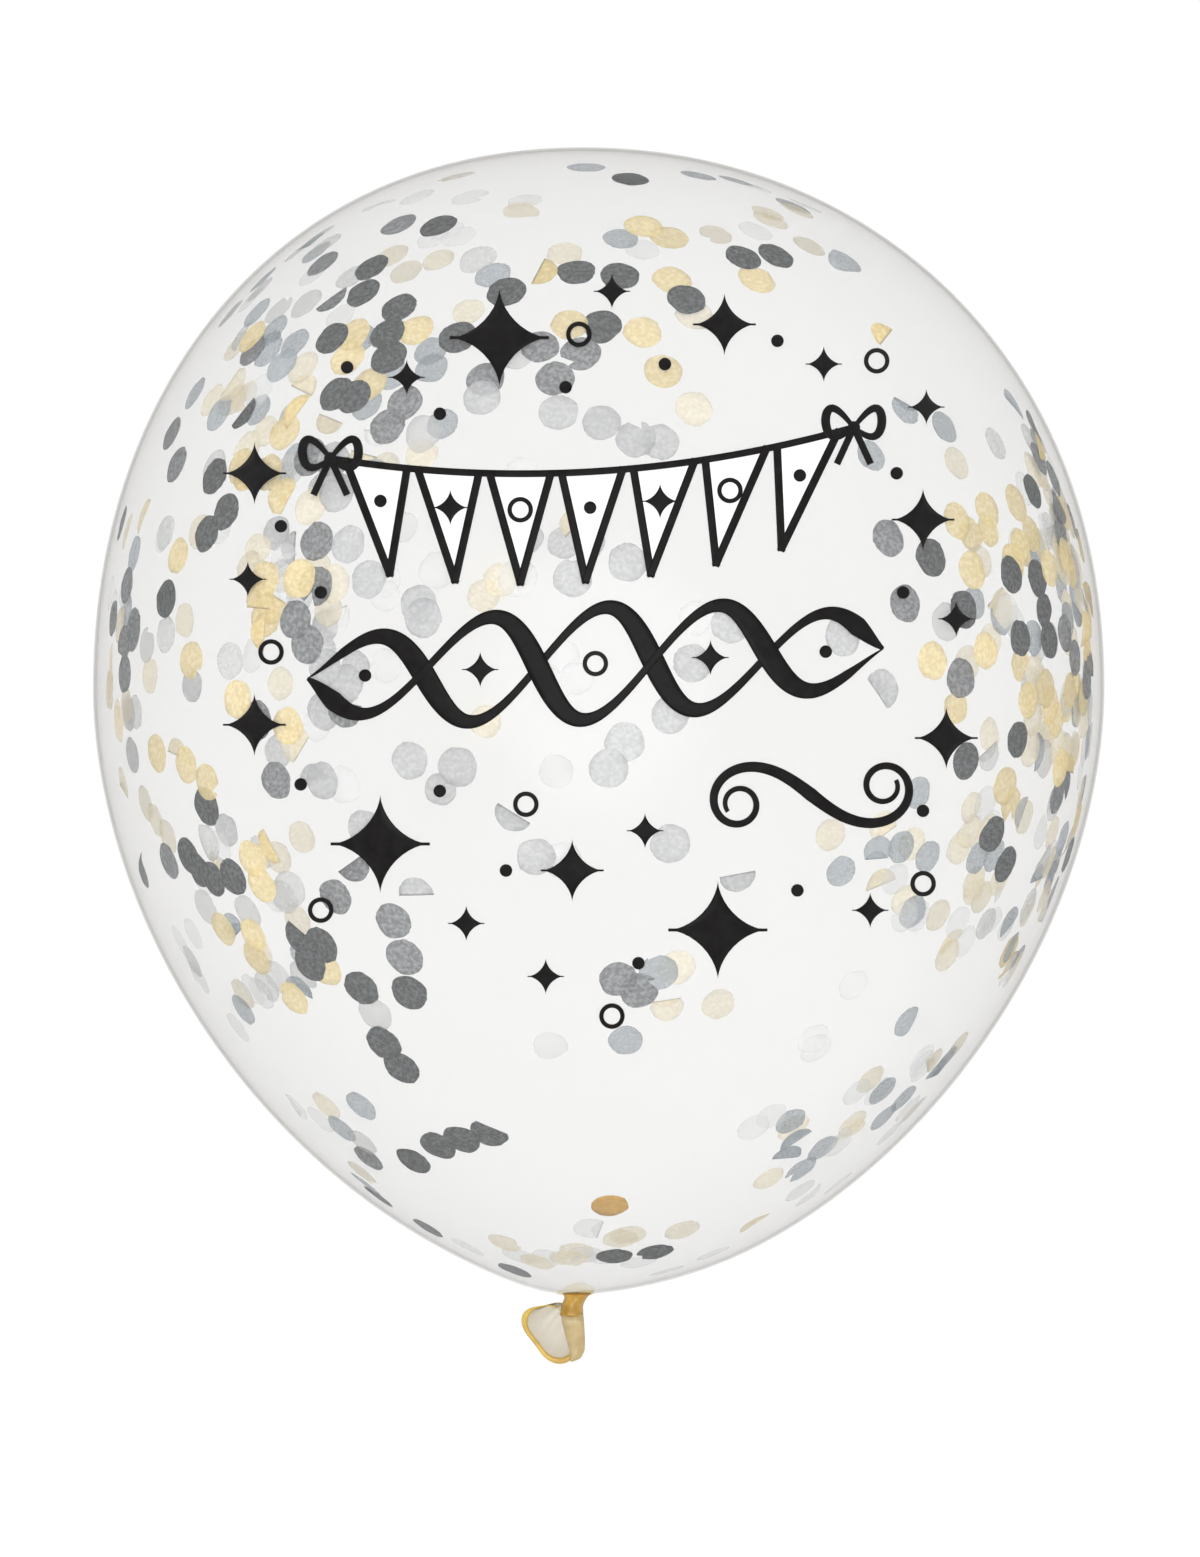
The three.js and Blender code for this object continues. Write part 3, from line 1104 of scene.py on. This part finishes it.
# Side of the film, papers in order, and the pixels of the photograph that they lie along.
confettiTrails = {
    "crown": [
        ("above", "blue black", (587, 168), (633, 181)),
        ("below", "blue blue faint", (700, 172), (722, 182), (772, 184)),
        ("above", "faint faint", (418, 193), (467, 198)),
        ("above", "slate black", (401, 226), (436, 224)),
        ("above", "slate black", (325, 262), (370, 264)),
        ("above", "gold gold", (642, 225), (670, 240)),
        ("below", "faint faint", (644, 250), (756, 231)),
        ("above", "clear blue black", (475, 257), (487, 274), (507, 294)),
        ("above", "gold black black", (538, 270), (577, 272), (618, 273)),
        ("above", "gold black cream", (673, 278), (687, 300), (697, 316)),
        ("above", "black black gold", (742, 254), (778, 257), (759, 281)),
        ("below", "cream blue", (811, 245), (843, 261)),
    ],
    "upper left": [
        ("above", "clear slate black", (303, 304), (328, 297), (362, 292)),
        ("above", "black black black", (396, 307), (382, 336), (387, 355)),
        ("above", "gold black", (413, 328), (455, 337)),
        ("above", "black gold gold", (328, 338), (354, 333), (347, 358)),
        ("above", "cream gold blue", (234, 345), (261, 329), (272, 330)),
        ("above", "slate blue", (252, 353), (267, 353)),
        ("above", "cream cream gold gold", (300, 367), (303, 390), (300, 410), (284, 431)),
        ("above", "black black gold", (333, 394), (354, 397), (372, 383)),
        ("above", "slate slate clear", (403, 400), (379, 427), (425, 431)),
        ("above", "clear slate gold black", (514, 351), (533, 356), (558, 324), (602, 323)),
        ("above", "slate slate silver silver", (582, 351), (550, 382), (560, 414), (600, 424)),
        ("above", "silver silver", (633, 436), (661, 441)),
        ("above", "slate silver", (482, 378), (484, 395)),
        ("above", "gold gold cream", (642, 333), (651, 364), (697, 405)),
        ("above", "blue black", (215, 410), (244, 414)),
        ("above", "cream gold gold gold clear", (244, 448), (235, 471), (274, 468), (286, 471)),
        ("above", "slate silver", (311, 456), (330, 458)),
        ("above", "slate slate", (171, 436), (173, 466)),
        ("above", "black black black", (213, 478), (229, 514), (205, 531)),
        ("above", "gold cream silver", (284, 498), (311, 505), (333, 495)),
        ("above", "slate silver", (318, 543), (346, 547)),
    ],
    "left": [
        ("above", "cream clear gold", (141, 520), (156, 517), (180, 556)),
        ("above", "gold slate cream", (300, 576), (318, 589), (333, 583)),
        ("above", "gold gold gold gold gold",
         (262, 580), (259, 601), (274, 604), (256, 625), (262, 634)),
        ("above", "silver", (367, 576)),
        ("above", "black clear gold", (166, 596), (168, 645), (188, 657)),
        ("above", "clear gold slate gold", (229, 659), (246, 723), (273, 711), (288, 723)),
        ("above", "slate slate slate", (115, 618), (137, 621), (124, 645)),
        ("above", "slate slate silver silver slate",
         (298, 621), (310, 655), (333, 669), (347, 689), (345, 709)),
        ("above", "silver cream slate", (323, 709), (288, 750), (274, 779)),
        ("below", "cream cream clear", (112, 689), (120, 699), (137, 713)),
        ("above", "silver faint", (323, 780), (345, 787)),
        ("above", "gold gold gold black", (158, 753), (183, 763), (208, 777), (205, 809)),
        ("below", "cream cream cream", (124, 787), (139, 794), (154, 821)),
        ("above", "clear black black black black",
         (205, 845), (186, 853), (200, 872), (217, 882), (235, 878)),
        ("above", "gold gold gold", (274, 845), (254, 858), (261, 887)),
        ("above", "slate slate", (139, 872), (166, 860)),
        ("above", "clear clear clear", (289, 887), (246, 912), (202, 905)),
        ("above", "silver silver", (409, 760), (458, 767)),
        ("above", "silver slate slate", (364, 831), (342, 875), (337, 899)),
    ],
    "lower left": [
        ("above", "gold gold gold clear gold", (225, 927), (251, 934), (256, 957), (274, 971), (295, 996)),
        ("above", "black black black gold", (298, 934), (327, 951), (305, 971), (323, 972)),
        ("above", "silver slate slate black", (416, 895), (394, 924), (402, 958), (408, 991)),
        ("above", "black clear black black", (359, 991), (372, 1018), (384, 1043), (401, 1070)),
        ("below", "faint cream blue", (296, 1106), (320, 1102), (359, 1107)),
        ("below", "faint blue clear slate", (322, 1123), (345, 1129), (371, 1143), (366, 1156)),
        ("below", "cream blue slate", (360, 1173), (357, 1182), (377, 1197)),
        ("above", "black black black black", (415, 1163), (425, 1149), (457, 1140), (489, 1136)),
        ("below", "slate faint slate", (425, 1229), (479, 1256), (513, 1270)),
        ("below", "cream cream cream", (504, 1246), (545, 1266), (570, 1255)),
        ("above", "bronze", (607, 1208)),
        ("above", "black black", (617, 1256), (657, 1252)),
    ],
    # near the middle, discs are drawn in the pale silver and faint papers: partly the real silver tissue,
    # partly painted glare of the film over them
    "middle": [
        ("above", "silver silver faint", (513, 811), (550, 882), (563, 858)),
        ("above", "silver silver", (609, 770), (625, 740)),
        ("above", "faint silver silver", (518, 579), (580, 574), (625, 565)),
        ("above", "silver silver faint", (420, 605), (415, 638), (438, 571)),
        ("above", "silver silver silver", (673, 713), (700, 640), (731, 623)),
        ("above", "silver silver", (842, 634), (883, 692)),
        ("above", "silver silver", (671, 845), (737, 875)),
        ("above", "slate slate blue cream", (618, 982), (637, 995), (649, 978), (680, 968)),
        ("below", "cream cream", (668, 1007), (716, 1004)),
        ("below", "faint blue", (548, 1043), (626, 1041)),
    ],
    "right": [
        ("above", "gold", (888, 338)),
        ("below", "blue blue cream", (904, 411), (952, 428), (959, 460)),
        ("below", "blue clear", (871, 459), (997, 442)),
        ("above", "blue slate slate black slate",
         (1014, 405), (1031, 416), (1043, 455), (1029, 486), (1060, 505)),
        ("above", "gold gold gold gold", (960, 522), (997, 509), (1019, 505), (1031, 533)),
        ("above", "slate black gold", (888, 540), (943, 562), (974, 568)),
        ("above", "black black black black black",
         (1012, 575), (1033, 568), (1045, 613), (1050, 647), (1022, 639)),
        ("above", "slate clear black", (909, 606), (962, 630), (967, 606)),
        ("above", "slate slate slate", (1066, 630), (1078, 658), (1087, 680)),
        ("above", "gold slate gold", (933, 659), (959, 678), (986, 651)),
        ("above", "gold gold gold gold", (1031, 702), (1050, 688), (1048, 705), (1060, 720)),
        ("above", "black blue gold", (1019, 742), (1033, 751), (1059, 766)),
        ("above", "gold black", (1004, 787), (964, 764)),
        ("below", "blue cream", (919, 795), (971, 808)),
        ("above", "black black", (997, 837), (1004, 864)),
        ("below", "blue blue blue blue", (840, 873), (869, 849), (933, 854), (974, 859)),
        ("below", "cream cream cream cream", (831, 833), (921, 826), (905, 866), (880, 883)),
        ("below", "cream cream blue", (973, 888), (1012, 892), (912, 909)),
        ("below", "faint clear blue cream", (959, 923), (986, 923), (1010, 921), (1028, 909)),
        ("above", "blue slate", (1062, 837), (1066, 857)),
    ],
    "lower right": [
        ("below", "blue blue blue cream", (793, 1123), (804, 1137), (783, 1154), (771, 1176)),
        ("below", "blue blue faint", (821, 1150), (800, 1171), (803, 1190)),
        ("below", "faint cream faint", (812, 1200), (726, 1235), (712, 1257)),
        ("below", "cream faint blue blue", (873, 1078), (855, 1095), (890, 1090), (904, 1099)),
        ("below", "cream blue faint", (852, 1126), (873, 1123), (914, 1106)),
        ("below", "faint blue blue cream", (921, 1057), (928, 1071), (938, 1078), (959, 1044)),
        ("below", "faint blue", (854, 982), (904, 1025)),
    ],
}

# Looser drifts: side, how many, papers to draw from, middle and half size of the area in pixels.
confettiDrifts = {
    "upper left": ("below", 34, "faint faint clear cream cream blue", (330, 360), (170, 130)),
    "upper left rim": ("above", 16, "faint clear cream blue", (215, 350), (70, 130)),
    "left rim": ("above", 16, "faint slate cream cream blue", (118, 620), (18, 130)),
    "left": ("below", 30, "faint faint clear cream cream silver", (230, 690), (120, 190)),
    "lower left": ("below", 22, "faint clear cream blue faint", (260, 930), (90, 110)),
    "pale middle": ("below", 30, "faint faint silver silver cream", (480, 620), (230, 190)),
    "right band above": ("above", 34, "cream cream gold blue clear faint", (1050, 600), (45, 170)),
    "right band below": ("below", 40, "cream cream gold blue clear faint", (1020, 680), (75, 230)),
    "right rim above": ("above", 44, "cream gold cream blue clear slate", (1110, 660), (45, 270)),
    "right rim below": ("below", 44, "cream gold blue clear cream faint", (1110, 700), (45, 290)),
    "lower right": ("below", 24, "faint cream blue faint", (980, 900), (100, 90)),
    "lower rim": ("below", 16, "faint faint cream", (850, 1120), (110, 90)),
    "crown": ("below", 16, "faint faint blue cream", (600, 210), (230, 50)),
    "bottom": ("below", 12, "faint faint cream cream", (620, 1250), (110, 25)),
}


def pathPlace(pixels, share):  # a pixel part of the way along the trail
    if len(pixels) == 1:
        return Vector(pixels[0])
    places = [Vector(pixel) for pixel in pixels]
    lengths = [(end - start).length for start, end in zip(places, places[1:])]
    wanted = share * sum(lengths)
    for start, end, length in zip(places, places[1:], lengths):
        if wanted <= length:
            return start + (end - start) * (wanted / length)
        wanted -= length
    return places[-1]


def discShape(draw):  # where it folds, how far its edge is torn and how far it curls up
    s = confettiSettings
    kind = draw.choices(list(s["shapes"]), list(s["shapes"].values()))[0]
    middle = s["stations"] // 2
    foldAt = {"folded": middle + draw.choice(s["foldPastMiddle"]), "half": middle}.get(kind)
    tear = draw.uniform(*s["tears"]) if kind == "torn" else 0
    curl = draw.uniform(*s["curls"]) if kind == "curled" else 0
    return foldAt, tear, curl


def discPlace(pixel, side, layer):  # inside the film, where it shows at the pixel
    s = confettiSettings
    x, y = fromPixel(pixel)
    sign = 1 if side == "above" else -1
    depth = filmSettings["wall"] + s["gap"] + s["layerGap"] * layer
    _, out = bodyPoint(*filmUnder(x, y, sign))
    along, angle = filmUnder(x + out.x * depth, y + out.y * depth, sign)
    centre, out = bodyPoint(along, angle, depth)
    lowest = depth + filmSettings["restGap"]
    centre.z = max(centre.z, lowest)
    return centre, out, Vector((math.cos(angle), 0, -math.sin(angle))), filmBends(along), lowest


def addDisc(sheet, pixel, side, layer, draw):
    s = confettiSettings
    centre, out, around, (aroundBend, alongBend), lowest = discPlace(pixel, side, layer)
    meridian = out.cross(around)
    turned = Matrix.Rotation(draw.uniform(0, 2 * math.pi), 3, out)
    first = turned @ around
    second = turned @ meridian
    radius = s["diameter"] / 2 * (1 + draw.uniform(-s["sizeSpread"], s["sizeSpread"]))
    foldAt, tear, curl = discShape(draw)
    phases = [draw.uniform(0, 2 * math.pi) for _ in range(4)]
    tearAt = draw.randrange(s["tearMargin"], s["stations"] - s["tearMargin"] + 1)
    alongCrinkle, acrossCrinkle = s["crinkles"]
    grid = []
    for station in range(s["stations"] + 1):  # cross rows from one end of the disc to the other
        turn = station / s["stations"] * math.pi
        uneven = 1 + sum(depth * math.sin(waves * turn + phase)
                         for (waves, depth), phase in zip(s["waves"], phases))
        length = -radius * uneven * math.cos(turn)
        half = max(radius * uneven * math.sin(turn), s["endWidth"] * radius)
        flap = foldAt is not None and station > foldAt
        if flap:  # mirrored at the fold line
            length = -2 * radius * math.cos(foldAt / s["stations"] * math.pi) - length
        row = []
        for column in range(s["columns"]):
            share = column / (s["columns"] - 1) * 2 - 1
            if share > 0:
                share *= 1 - tear * max(1 - abs(station - tearAt) / s["tearReach"], 0)
            if abs(share) == 1:
                share *= 1 + draw.uniform(-s["ragged"], s["ragged"])
            width = share * half
            place = first * length + second * width
            sag = (aroundBend * place.dot(around) ** 2 + alongBend * place.dot(meridian) ** 2) / 2
            ripple = math.sin(length * alongCrinkle + phases[2]) * math.cos(width * acrossCrinkle + phases[3])
            sink = sag + s["crinkle"] * (1 + ripple) / 2
            sink += curl * max(length / radius, 0) ** 2
            if flap:
                sink += s["foldGap"]
            point = centre + place - out * sink
            point.z = max(point.z, lowest)
            row.append((point, out))
        grid.append(row)
    addSheet(sheet, grid, s["thickness"])


def paperMaterial(name, paper):  # tissue: mottled fibres, and a shade of its own for each disc
    made = newMaterial(name, {**paperSettings, **paper})
    nodes = made.node_tree.nodes
    links = made.node_tree.links
    least, most = paperSettings["discShades"]
    geometry = nodes.new("ShaderNodeNewGeometry")
    shade = nodes.new("ShaderNodeMapRange")
    shade.inputs["To Min"].default_value = least
    shade.inputs["To Max"].default_value = most
    links.new(geometry.outputs["Random Per Island"], shade.inputs["Value"])
    scaled = nodes.new("ShaderNodeVectorMath")
    scaled.operation = "SCALE"
    links.new(nodes["Color Ramp"].outputs["Color"], scaled.inputs[0])
    links.new(shade.outputs["Result"], scaled.inputs["Scale"])
    links.new(scaled.outputs["Vector"], nodes["Principled BSDF"].inputs["Base Color"])
    return made


def insideRim(pixel, draw):  # the pixel, or one beside it that is inside the outline
    x, y = fromPixel(pixel)
    radius, lean = outlineAt(y)
    least, most = confettiSettings["rimShares"]
    if abs(x - lean) < radius * most:
        return pixel
    inside = lean + math.copysign(radius * draw.uniform(least, most), x - lean)
    return pixel[0] + (inside - x) / viewSettings["pixel"], pixel[1]


def makeConfetti():
    s = confettiSettings
    draw = random.Random(s["seed"])
    sheets = {paper: newSheet() for paper in confettiPapers}
    count = 0

    def drop(paper, pixel, side):
        layer = count % s["layers"] + s["layers"] * (paper in s["pale"])
        addDisc(sheets[paper], pixel, side, layer, draw)

    stray = s["strayTrail"] / viewSettings["pixel"]
    for trails in confettiTrails.values():
        for side, papers, *pixels in trails:
            words = papers.split()
            for index, paper in enumerate(words):
                pixel = pathPlace(pixels, index / max(len(words) - 1, 1))
                pixel += Vector((draw.uniform(-stray, stray), draw.uniform(-stray, stray)))
                drop(paper, pixel, side)
                count += 1
    for side, amount, papers, middle, reach in confettiDrifts.values():
        for _ in range(amount):
            turn = draw.uniform(0, 2 * math.pi)
            far = math.sqrt(draw.random())
            pixel = (middle[0] + reach[0] * far * math.cos(turn), middle[1] + reach[1] * far * math.sin(turn))
            drop(draw.choice(papers.split()), insideRim(pixel, draw), side)
            count += 1
    for paper, sheet in sheets.items():
        tissue = confettiPapers[paper]
        piece = sheetObject("confetti_" + paper, sheet)
        piece.visible_shadow = tissue["alpha"] > s["shadowAlpha"]
        dressPiece(piece, paperMaterial(paper + "Tissue", tissue))
    print("confetti discs:", count)


makeConfetti()
